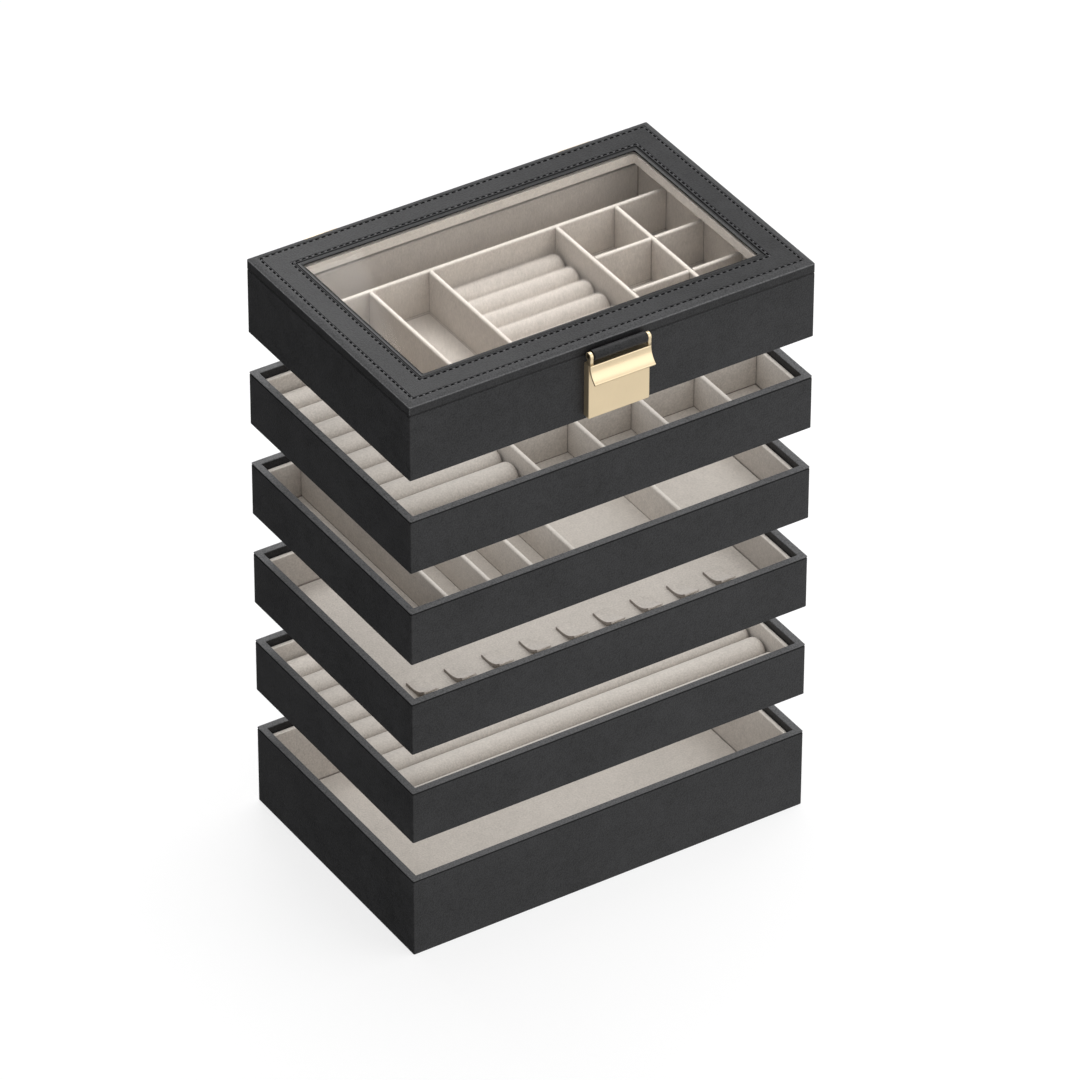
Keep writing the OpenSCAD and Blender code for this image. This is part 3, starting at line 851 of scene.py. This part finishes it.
def tab(low, high):
    """A strip carried forwards along a flat foot and then round a circle: at distance s past the foot
    it has turned by s over the radius. Its section is a rounded rectangle that narrows at the tip.
    Its left edge is painted dark as shade. Gives grid and tint."""
    foot, thick, sweep, corner = 5 * MM, 1.8 * MM, math.radians(42), 2.4 * MM
    radius = (high[1] - low[1] - foot) / math.sin(sweep)
    run = foot + radius * sweep
    tip = corner * np.cos(quarter(8))
    s = np.concatenate([
        [0, 0.3 * MM], np.linspace(MM, foot, 5), np.linspace(foot, run - corner, 12)[1:], run - tip[1:]])
    bend = np.clip(s - foot, 0, None) / radius
    line_y = np.minimum(s, foot) + (radius - thick / 2) * np.sin(bend)
    line_z = thick / 2 + (radius - thick / 2) * (1 - np.cos(bend))
    near = np.clip((s - run + corner) / corner, 0, 1)
    half_w = (high[0] - low[0]) / 2 - corner * (1 - np.sqrt(1 - near ** 2))
    half_t = thick / 2 * (1 - 0.75 * near ** 4)
    section = rounded([(1, -1, 0.1), (1, 1, 0.1), (-1, 1, 0.1), (-1, -1, 0.1)], closed=True)
    across, through = section[:, 0], section[:, 1]
    x = (low[0] + high[0]) / 2 + half_w[:, None] * across
    lift = half_t[:, None] * through
    y = high[1] - line_y[:, None] + np.sin(bend)[:, None] * lift
    z = low[2] + line_z[:, None] + np.cos(bend)[:, None] * lift
    return points_of(x, y, z), -0.7 * (x < low[0] + 0.5 * MM)


class ORGANIZER_OT_tabs(bpy.types.Operator):
    """Necklace tabs: velvet tongues bent up from the floor towards the front"""

    bl_idname = "organizer.tabs"
    bl_label = "Necklace tabs"

    def execute(self, context):
        node = "tray_4_necklace_tabs"
        grids, tints = zip(*[tab(low, high) for low, high in solids(node)])
        piece("tray_4_velvet_tabs", "tray_4", greige_velvet, grids, tints=tints, replaces=node)
        return {"FINISHED"}


def lid_profile(look, foot, top, width):
    """Side, padded edge, and top of the frame with its two grooves. The padded edge falls with the
    power 1.3 of the distance from the outer row."""
    lip, half, sunk = MM, 0.8 * MM, 0.12 * MM
    edge, brow = look.outer_row - lip, top - look.edge_fall
    t = np.linspace(0, 1, 9)
    padded = points_of(edge * t, top - look.edge_fall * (1 - t) ** 1.3)
    side = rounded([
        (MM, foot, 0), (0, foot, 0.8 * MM), (0, foot + 1.5 * MM, 0),
        (0, brow - 0.8 * MM, 0), (0, brow, 0.2 * MM), padded[1]])
    across = np.add.outer([look.outer_row, look.inner_row], [-lip, -half, half, lip]).ravel()[1:]
    depths = [look.groove, look.groove, sunk, sunk, look.groove, look.groove, 0]
    grooves = [(inset, top - depth, CRISP) for inset, depth in zip(across, depths)]
    inner = [(width, top, EASED), (width, foot, 0.4 * MM), (width - MM, foot, 0)]
    flat = rounded([padded[-2], (edge + HAIR, top, 0)] + grooves + inner)
    return np.concatenate([side[:-1], padded[1:-2], flat])


def add_lining():
    """Velvet strip round the window, below the glass."""
    low, high = box_of("lid_lining")
    thick, top = 3.5 * MM, high[2] - HAIR
    outline = [(HAIR, low[2], 0.5 * MM), (HAIR, top, CRISP), (thick, top, 0.2 * MM)]
    profile = rounded(outline + [(thick, low[2], 0.8 * MM)], closed=True)
    grid = carried(profile, high, (EASED, ROUND))
    # Painted light all over, stronger towards the lower edge
    tint = 0.5 + 0.5 * smooth(1 - (grid[..., 2] - low[2]) / (1.2 * MM))
    piece("lid_velvet_lining", "lid", greige_velvet, [grid], ring=True, tints=[tint], replaces="lid_lining")


def add_bead():
    """Glossy strip that holds the glass, round on top."""
    low, high = box_of("lid_bead")
    thick, inset, foot, top = 3.5 * MM, 0.25 * MM, low[2] + HAIR, high[2]
    profile = rounded([
        (inset, foot, CRISP), (inset, top - 0.3 * MM, EASED), (thick / 2, top, ROUND),
        (thick, top - 0.5 * MM, 0.5 * MM), (thick, foot, CRISP)], closed=True)
    grid = carried(profile, high, (0.9 * MM, ROUND))
    piece("lid_black_bead", "lid", black_gloss, [grid], ring=True, replaces="lid_bead")


class ORGANIZER_OT_lid(bpy.types.Operator):
    """Lid: the padded frame with two sewn grooves, its velvet lining, the bead and the glass"""

    bl_idname = "organizer.lid"
    bl_label = "Lid"

    def execute(self, context):
        look = context.scene.organizer_lid
        corner = context.scene.organizer_leather.corner
        low, high = box_of("lid_frame")
        width = high[0] - box_of("lid_bead")[1][0]
        profile = lid_profile(look, low[2], high[2], width - 0.1 * MM)
        grid = carried(profile, high, (corner, 0.8 * MM))
        # Painted highlight on the outer edges and corners, outside the outer row and in the grooves;
        # painted shade on the sides and foot
        inset, level = profile.T[..., None]
        edge = np.hypot(inset, level - high[2] + look.edge_fall)
        rows = np.abs(inset - [look.outer_row, look.inner_row]).min(axis=1, keepdims=True)
        pulled = (rows < 0.85 * MM) & (level > high[2] - MM)
        strip = (inset < look.outer_row - MM) & (level > high[2] - look.edge_fall)
        foot = smooth(1.4 - (level - low[2]) / MM)
        side = (inset < HAIR) & (edge > 0.7 * MM)
        band = 1 - smooth(edge / (0.8 * MM)) + 0.2 * strip + 0.4 * pulled - 0.3 * side - 1.6 * foot
        upright = np.hypot(high[0] - np.abs(grid[..., 0]), high[1] - np.abs(grid[..., 1]))
        tint = np.clip(band + 1 - smooth(upright / (1.2 * MM)), -1, 1)
        piece("lid_wrapped_frame", "lid", black_leatherette, [grid], ring=True, tints=[tint],
              replaces="lid_frame")
        add_lining()
        add_bead()
        coat("lid_glass", clear_glass)
        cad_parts["lid_glass"].visible_shadow = False
        return {"FINISHED"}


def stitches(high, inset, look):
    """Stitches along a rounded rectangle. Each one is a flattened ellipse: at share u of its half
    length its half width is the square root of 1 - u squared, and its ends dip into the groove."""
    loop = carried(np.array([[inset, 0.0]]), high, (1.4 * MM, 1.4 * MM))[0, :, :2]
    loop = np.concatenate([loop, loop[:1]])
    distance = np.append(0, np.cumsum(np.linalg.norm(np.diff(loop, axis=0), axis=1)))
    count = round(distance[-1] / look.pitch)
    middle = (np.arange(count) + 0.5) * distance[-1] / count
    u = np.array([-1, -0.85, -0.5, 0, 0.5, 0.85, 1])
    s = (middle[:, None] + u * look.stitch / 2) % distance[-1]
    x = np.interp(s, distance, loop[:, 0])
    y = np.interp(s, distance, loop[:, 1])
    chord = points_of(x[:, -1] - x[:, 0], y[:, -1] - y[:, 0])
    chord /= np.linalg.norm(chord, axis=1)[:, None]
    radius = look.thread * np.sqrt(np.maximum(1 - u ** 2, 0.01))
    flat = 0.55
    level = high[2] - 0.02 * MM - look.thread * (flat + 0.45 * u ** 2)
    angle = circle(6)
    side = radius[:, None] * np.cos(angle)
    along_x, along_y = chord.T[:, :, None, None]
    return points_of(
        x[:, :, None] - along_y * side,
        y[:, :, None] + along_x * side,
        level[:, None] + flat * radius[:, None] * np.sin(angle))


class ORGANIZER_OT_stitching(bpy.types.Operator):
    """Two rows of stitches on the lid, laid in their grooves"""

    bl_idname = "organizer.stitching"
    bl_label = "Stitching"

    def execute(self, context):
        look = context.scene.organizer_lid
        high = box_of("lid_frame")[1]
        for name, inset in (("outer", look.outer_row), ("inner", look.inner_row)):
            grid = stitches(high, inset, look)
            piece("lid_stitches_" + name, "lid", black_thread, [grid])
        return {"FINISHED"}


def add_magnet(face):
    """Round face of the magnet, a hair proud of the catch block."""
    low, high = box_of("catch_magnet")
    radius = (high[0] - low[0]) / 2
    disc = plate(low, high, face + 0.5 * MM, face - 0.1 * MM, radius, 0.15 * MM)
    piece("catch_magnet_face", "top_box", nickel, [disc], replaces="catch_magnet")


def add_flap(look):
    """A plate that falls from the bar and curves out on a circle, with an ear at each end that is
    a circle round the bar, drawn down to the plate."""
    low, high = box_of("hasp_flap")
    bar = axis_of("hasp_bar")
    top = bar[1] - look.flap_drop
    back = box_of("catch_block")[0][1] - look.flap_gap
    centre = (back - look.flap_thick - look.flap_hollow, top)
    reaches = (look.flap_hollow, look.flap_hollow + look.flap_thick)
    front, behind = [arc(centre, radius, 0, -look.flap_sweep, 17) for radius in reaches]
    grids = [prism(np.concatenate([front, behind[::-1]]), low[0], high[0], look.edge)]
    reach = 0.72 * (high[2] - bar[1])
    ear = np.concatenate([
        arc(bar, reach, math.radians(-60), math.radians(205), 30),
        [[front[0, 0], bar[1] - reach], front[0], [bar[0], top + 0.2 * MM]]])
    for start in (low[0], high[0] - look.ear):
        grids.append(prism(ear, start, start + look.ear, 0.35 * MM))
    piece("hasp_plate", "hasp", satin_brass, grids, replaces="hasp_flap")


def add_loop():
    """A strap that comes from under the lid, goes round the bar and meets itself. The gap is the
    angle left where the ring meets the strap."""
    low, high = box_of("hasp_loop")
    bar = axis_of("hasp_bar")
    radius = high[2] - bar[1]
    strap, slack, gap = 1.7 * MM, 0.12 * MM, 0.05
    under = box_of("lid_frame")[0][2] - slack
    over = under + strap
    start = math.asin(np.clip((over - bar[1]) / radius, -1, 1)) + gap
    stop = 2 * math.pi + math.asin(np.clip((under - bar[1]) / radius, -1, 1)) - gap
    ring = arc(bar, radius, start, stop, 48)
    outline = np.concatenate([ring, [[high[1], under], [high[1], over]]])
    grid = prism(outline, low[0], high[0], EASED)
    piece("hasp_leather_loop", "lid", black_leatherette, [grid], tints=[-0.4], replaces="hasp_loop")


class ORGANIZER_OT_clasp(bpy.types.Operator):
    """Clasp: the catch block, the hollow flap with its ears, and the leather loop round the bar"""

    bl_idname = "organizer.clasp"
    bl_label = "Clasp"

    def execute(self, context):
        look = context.scene.organizer_brass
        wall = box_of("top_box_walls")[0][1]
        low, high = box_of("catch_block")
        block = plate(low, high, wall, low[1], EASED, look.edge)
        piece("catch_plate", "top_box", satin_brass, [block], replaces="catch_block")
        add_magnet(low[1])
        add_flap(look)
        add_loop()
        coat("hasp_bar", satin_brass)
        return {"FINISHED"}


def leaf(low, high, middle, axis, radius, wall, first, look):
    """A rounded leaf on the wall, and knuckles round the axis, each with its neck. The box has the
    even knuckles and its leaf goes down, and the lid has the odd ones."""
    clear = radius + 0.3 * MM
    foot, head = (low[2], axis[1] - clear) if first == 0 else (axis[1] + clear, high[2])
    left, right = middle - look.hinge / 2, middle + look.hinge / 2
    low, high = np.array([left, 0, foot]), np.array([right, 0, head])
    grids = [plate(low, high, wall, wall + look.leaf, ROUND, 0.3 * MM)]
    count = 5
    knuckle = look.hinge / count
    ease = 0.35 * MM
    half = knuckle / 2 - 0.15 * MM
    rise = half - ease * (1 - np.cos(quarter(5)))
    girth = radius - ease * (1 - np.sin(quarter(5)))
    tube = points_of(np.append(-rise, rise[::-1]), np.append(girth, girth[::-1]))
    bottom, top = (head - MM, axis[1]) if first == 0 else (axis[1], foot + MM)
    front, back = wall + look.leaf, wall + HAIR
    neck = np.array([[front, bottom], [front, top], [back, top], [back, bottom]])
    for i in range(first, count, 2):
        x = left + (i + 0.5) * knuckle
        grids.append(turned(tube, np.array([x, axis[0], axis[1]]), 32))
        grids.append(prism(neck, x - half, x + half, CRISP))
    return grids


def screw(low, high, look):
    """A domed head with a cross recess. Its grid is polar, its height falls with the square of the
    radius, and points within the arms of the cross sink by a smooth step."""
    centre = (low + high) / 2
    radius = (high[0] - low[0]) / 2
    out = np.append(1, np.linspace(1, 0.03, 14))[:, None]
    angle = circle(40)
    u, v = out * np.cos(angle), out * np.sin(angle)
    arm_width, arm_length = 0.16, 0.66
    across = np.minimum(np.abs(u), np.abs(v)) / arm_width
    along = np.maximum(np.abs(u), np.abs(v))
    cross = smooth(1.6 - across) * smooth((arm_length - along) * 8)
    rise = look.screw_head * (1 - 0.55 * out ** 2) - 0.45 * MM * cross
    rise[0] = 0
    back = high[1] - look.screw_head
    return points_of(centre[0] - radius * u, back + rise, centre[2] + radius * v)


class ORGANIZER_OT_hinges(bpy.types.Operator):
    """Hinges at the back: leaves, knuckles, pins and screws"""

    bl_idname = "organizer.hinges"
    bl_label = "Hinges"

    def execute(self, context):
        look = context.scene.organizer_brass
        wall = box_of("top_box_walls")[1][1]
        axis = axis_of("hinge_pins")
        reach = box_of("hinge_pins")[1][0] - look.hinge / 2
        for side, body, first in (("box", "top_box", 0), ("lid", "lid", 1)):
            node = "hinge_" + side + "_leaves"
            low, high = box_of(node)
            radius = high[1] - axis[0]
            grids = []
            for middle in (-reach, reach):
                grids += leaf(low, high, middle, axis, radius, wall, first, look)
            piece("hinge_" + side + "_brass", body, satin_brass, grids, replaces=node)
            node = "hinge_" + side + "_screws"
            heads = [screw(low, high, look) for low, high in solids(node)]
            piece(node[:-1] + "_heads", body, satin_brass, heads, replaces=node)
        coat("hinge_pins", satin_brass)
        return {"FINISHED"}


def add_camera(look):
    """The camera looks along minus the direction (sin a cos e, -cos a cos e, sin e) of azimuth a
    and elevation e, beside the middle of the lid's top."""
    a, e = look.azimuth, look.elevation
    back = Vector((math.sin(a) * math.cos(e), -math.cos(a) * math.cos(e), math.sin(e)))
    right = Vector((0, 0, 1)).cross(back).normalized()
    up = back.cross(right)
    level = Matrix.Rotation(look.roll, 3, back)
    right, up = level @ right, level @ up
    aim = Vector((0, 0, box_of("lid_frame")[1][2]))
    spot = aim + right * look.right + up * look.up + back * look.distance
    data = bpy.data.cameras.new("camera")
    data.sensor_width = 36
    data.lens = look.lens
    data.clip_end = 100
    camera = placed("camera", data)
    camera.matrix_world = Matrix.Translation(spot) @ Matrix((right, up, back)).transposed().to_4x4()
    bpy.context.scene.camera = camera


def add_floor():
    """A large sheet, a hair below the part."""
    reach = 6
    corners = [(x * reach, y * reach, -HAIR) for x, y in ((-1, -1), (1, -1), (1, 1), (-1, 1))]
    mesh = bpy.data.meshes.new("floor")
    mesh.from_pydata(corners, [], [(0, 1, 2, 3)])
    mesh.materials.append(finish_of(pale_floor))
    obj = placed("floor", mesh)
    obj.visible_glossy = False


def add_dome(look):
    """The studio's dome, whose brightness follows the dot product of a direction with the one from
    the lower back left to the upper front right."""
    world = bpy.data.worlds.new("studio")
    bpy.context.scene.world = world
    world.use_nodes = True
    shader = Shader(world.node_tree, "Background")
    bright_side = (0.6, -0.75, 0.3)
    dot = shader.node("ShaderNodeVectorMath", {"operation": "DOT_PRODUCT"}, {
        0: shader.place("Generated"), 1: bright_side}, "Value")
    shader.set(
        color=(1, 1, 1, 1),
        strength=shader.node("ShaderNodeMapRange", {"interpolation_type": "SMOOTHSTEP"}, {
            "Value": dot, "From Min": -0.9, "From Max": 0.6,
            "To Min": look.sky_low, "To Max": look.sky_high}))


def add_softbox(name, spot, target, width, height, radiance):
    """An oblong light of a given radiance, turned to a target, that the camera doesn't see."""
    lamp = bpy.data.lights.new(name, "AREA")
    lamp.shape = "RECTANGLE"
    lamp.size = width
    lamp.size_y = height
    lamp.energy = radiance * math.pi * width * height
    obj = placed(name, lamp)
    facing = (target - spot).to_track_quat("-Z", "Y")
    obj.matrix_world = Matrix.Translation(spot) @ facing.to_matrix().to_4x4()
    obj.visible_camera = False
    return obj


class ORGANIZER_OT_stage(bpy.types.Operator):
    """Pale floor, soft light and the camera at the photograph's angle"""

    bl_idname = "organizer.stage"
    bl_label = "Stage"

    def execute(self, context):
        look = context.scene.organizer_stage
        context.scene.view_settings.view_transform = "Standard"
        add_camera(look)
        add_floor()
        add_dome(look)
        middle = Vector((0, 0, 0.25))
        for name, offset, width, radiance in (
                ("overhead", (0.5, 0.3, 1.55), 1.3, look.overhead),
                ("right", (0.6, -0.8, 0.55), 0.9, look.side),
                ("rear", (0.05, 0.65, 0.75), 0.5, look.rear)):
            add_softbox(name, middle + Vector(offset), middle, width, width, radiance)
        for tier, body in list(TIERS.items())[1:]:
            low, high = box_of(tier + "_base")
            spot = Vector((0, 0, low[2] - 0.5 * MM))
            width, depth = (high - low)[:2] - 4 * MM
            lamp = add_softbox(
                "under_" + tier, spot, spot - Vector((0, 0, 1)), width, depth, look.tray_light)
            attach(lamp, body)
        return {"FINISHED"}


OPERATORS = [
    ORGANIZER_OT_walls,
    ORGANIZER_OT_bases,
    ORGANIZER_OT_liners,
    ORGANIZER_OT_floors,
    ORGANIZER_OT_dividers,
    ORGANIZER_OT_rolls,
    ORGANIZER_OT_tabs,
    ORGANIZER_OT_lid,
    ORGANIZER_OT_stitching,
    ORGANIZER_OT_clasp,
    ORGANIZER_OT_hinges,
    ORGANIZER_OT_stage,
]
SETTINGS = {
    "organizer_leather": ORGANIZER_PG_leather,
    "organizer_velvet": ORGANIZER_PG_velvet,
    "organizer_lid": ORGANIZER_PG_lid,
    "organizer_brass": ORGANIZER_PG_brass,
    "organizer_stage": ORGANIZER_PG_stage,
}


class ORGANIZER_PT_panel(bpy.types.Panel):
    """Lists the operators and the settings of the organizer"""

    bl_idname = "ORGANIZER_PT_panel"
    bl_label = "Jewelry Organizer"
    bl_space_type = "VIEW_3D"
    bl_region_type = "UI"
    bl_category = "Organizer"

    def draw(self, context):
        layout = self.layout
        for operator in OPERATORS:
            layout.operator(operator.bl_idname)
        for name, group in SETTINGS.items():
            box = layout.box()
            box.label(text=group.__doc__)
            for setting in group.__annotations__:
                box.prop(getattr(context.scene, name), setting)


def register():
    for name, group in SETTINGS.items():
        bpy.utils.register_class(group)
        setattr(bpy.types.Scene, name, bpy.props.PointerProperty(type=group))
    for operator in OPERATORS:
        bpy.utils.register_class(operator)
    bpy.utils.register_class(ORGANIZER_PT_panel)


def unregister():
    bpy.utils.unregister_class(ORGANIZER_PT_panel)
    for operator in reversed(OPERATORS):
        bpy.utils.unregister_class(operator)
    for name, group in SETTINGS.items():
        delattr(bpy.types.Scene, name)
        bpy.utils.unregister_class(group)


def main():
    """Registers the add-on and makes every piece."""
    register()
    for operator in OPERATORS:
        getattr(bpy.ops.organizer, operator.bl_idname.split(".")[1])()


if __name__ == "__main__":
    main()
